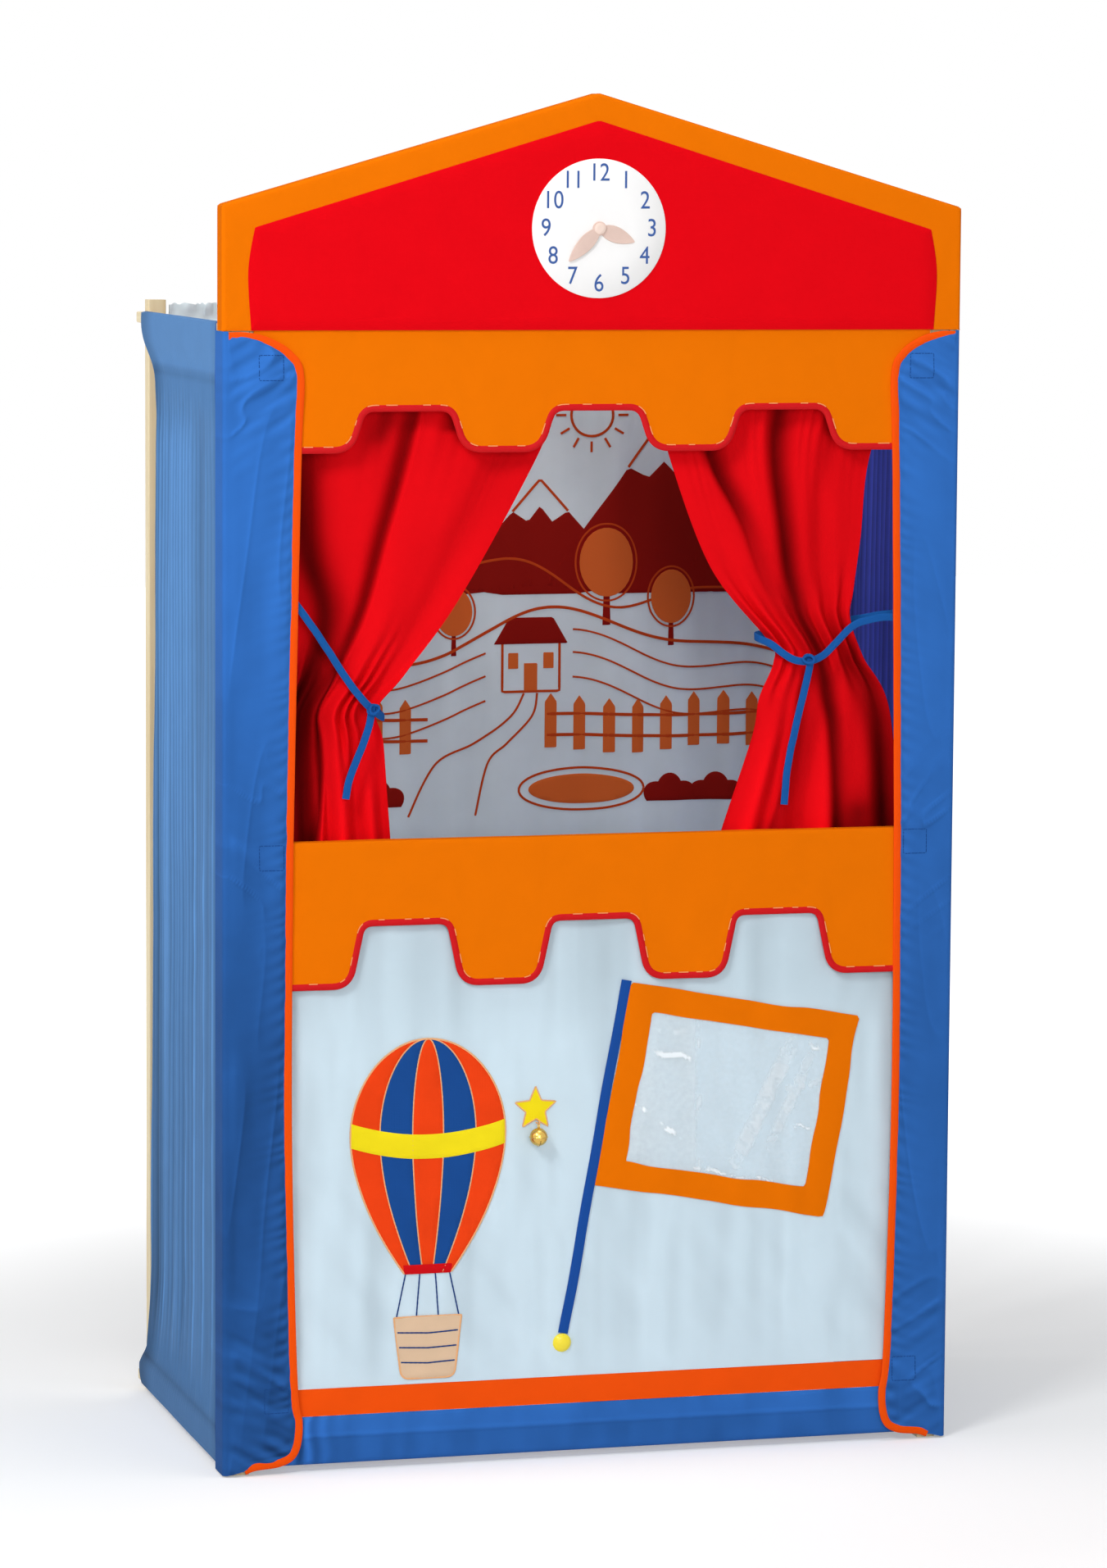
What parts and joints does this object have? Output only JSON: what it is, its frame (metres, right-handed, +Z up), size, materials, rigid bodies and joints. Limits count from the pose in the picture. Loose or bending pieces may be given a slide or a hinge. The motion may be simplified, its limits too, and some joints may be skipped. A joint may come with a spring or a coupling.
{
  "type": "puppet theater stand",
  "caption": "Free-standing puppet theatre: wooden frame in a sewn cover, gable with toy clock, curtained stage opening and open back for the puppeteer.",
  "frame": {"origin": "on the floor, at the middle of the bounding box", "axes": "+Z up, the audience is towards -Y, +X is the audience's right"},
  "size_m": [0.802, 0.4784, 1.447],
  "materials": {
    "pine": "planed",
    "blue_cotton": "woven",
    "hook_tape": "hook and loop",
    "binding_cotton": "woven",
    "orange_cotton": "woven",
    "piping_satin": "satin",
    "red_felt": "felt",
    "pale_cotton": "woven",
    "printed_cotton": "printed",
    "red_cotton": "woven",
    "blue_tape": "satin",
    "clear_film": "clear vinyl",
    "yellow_plastic": "gloss",
    "dial_card": "printed",
    "hand_felt": "felt",
    "rivet_plastic": "satin",
    "brass": "polished",
    "steel": "plain",
    "star_felt": "felt",
    "balloon_felt": "felt",
    "basket_felt": "felt"
  },
  "bodies": {
    "root": {"front_post_left": "pine", "front_post_right": "pine", "rear_post_left": "pine", "rear_post_right": "pine", "side_rail_top_left": "pine", "side_rail_top_right": "pine", "side_rail_bottom_left": "pine", "side_rail_bottom_right": "pine", "gable_rafter_left": "pine", "gable_rafter_right": "pine", "lintel_rail": "pine", "sill_rail": "pine", "front_rail_bottom": "pine", "curtain_rod": "pine", "backdrop_rod": "pine", "front_band_left": "blue_cotton", "front_band_right": "blue_cotton", "side_cloth_left": "blue_cotton", "side_cloth_right": "blue_cotton", "base_skirt": "blue_cotton", "hook_patch_left_top": "hook_tape", "hook_patch_left_middle": "hook_tape", "hook_patch_left_bottom": "hook_tape", "hook_patch_right_top": "hook_tape", "hook_patch_right_middle": "hook_tape", "hook_patch_right_bottom": "hook_tape", "band_binding_left": "binding_cotton", "band_binding_right": "binding_cotton", "lower_stripe": "binding_cotton", "gable_cover": "orange_cotton", "top_valance": "orange_cotton", "counter_cloth": "orange_cotton", "pocket_border": "orange_cotton", "top_valance_piping": "piping_satin", "counter_piping": "piping_satin", "gable_panel": "red_felt", "lower_panel": "pale_cotton", "backdrop": "printed_cotton", "curtain_left": "red_cotton", "curtain_right": "red_cotton", "tie_left": "blue_tape", "tie_left_tail": "blue_tape", "tie_right": "blue_tape", "tie_right_tail": "blue_tape", "flag_staff": "blue_tape", "pocket_window": "clear_film", "staff_knob": "yellow_plastic", "clock_dial": "dial_card", "clock_rivet": "rivet_plastic", "bell_thread": "star_felt", "applique_star": "star_felt", "applique_balloon": "balloon_felt", "applique_basket": "basket_felt"},
    "hour_hand": {"hour_hand": "hand_felt"},
    "minute_hand": {"minute_hand": "hand_felt"},
    "bell": {"bell": "brass", "bell_pellet": "steel"},
    "curtain_lead_left": {"curtain_loop_left": "red_cotton"},
    "curtain_lead_right": {"curtain_loop_right": "red_cotton"}
  },
  "joints": [
    {"name": "hour_hand_turn", "type": "hinge", "parent": "root", "child": "hour_hand", "pos_m": [0, -0.22445, 1.307], "axis": [0, 1, 0], "continuous": true},
    {"name": "minute_hand_turn", "type": "hinge", "parent": "root", "child": "minute_hand", "pos_m": [0, -0.22575, 1.307], "axis": [0, 1, 0], "continuous": true},
    {"name": "bell_swing", "type": "hinge", "parent": "root", "child": "bell", "pos_m": [-0.061, -0.22895, 0.36375], "axis": [0, 1, 0], "range_deg": [-60, 60]},
    {"name": "curtain_left_draw", "type": "slide", "parent": "root", "child": "curtain_lead_left", "axis": [-1, 0, 0], "range_m": [0, 0.215], "deforming": ["curtain_left"]},
    {"name": "curtain_right_draw", "type": "slide", "parent": "root", "child": "curtain_lead_right", "axis": [1, 0, 0], "range_m": [0, 0.19], "deforming": ["curtain_right"]}
  ]
}
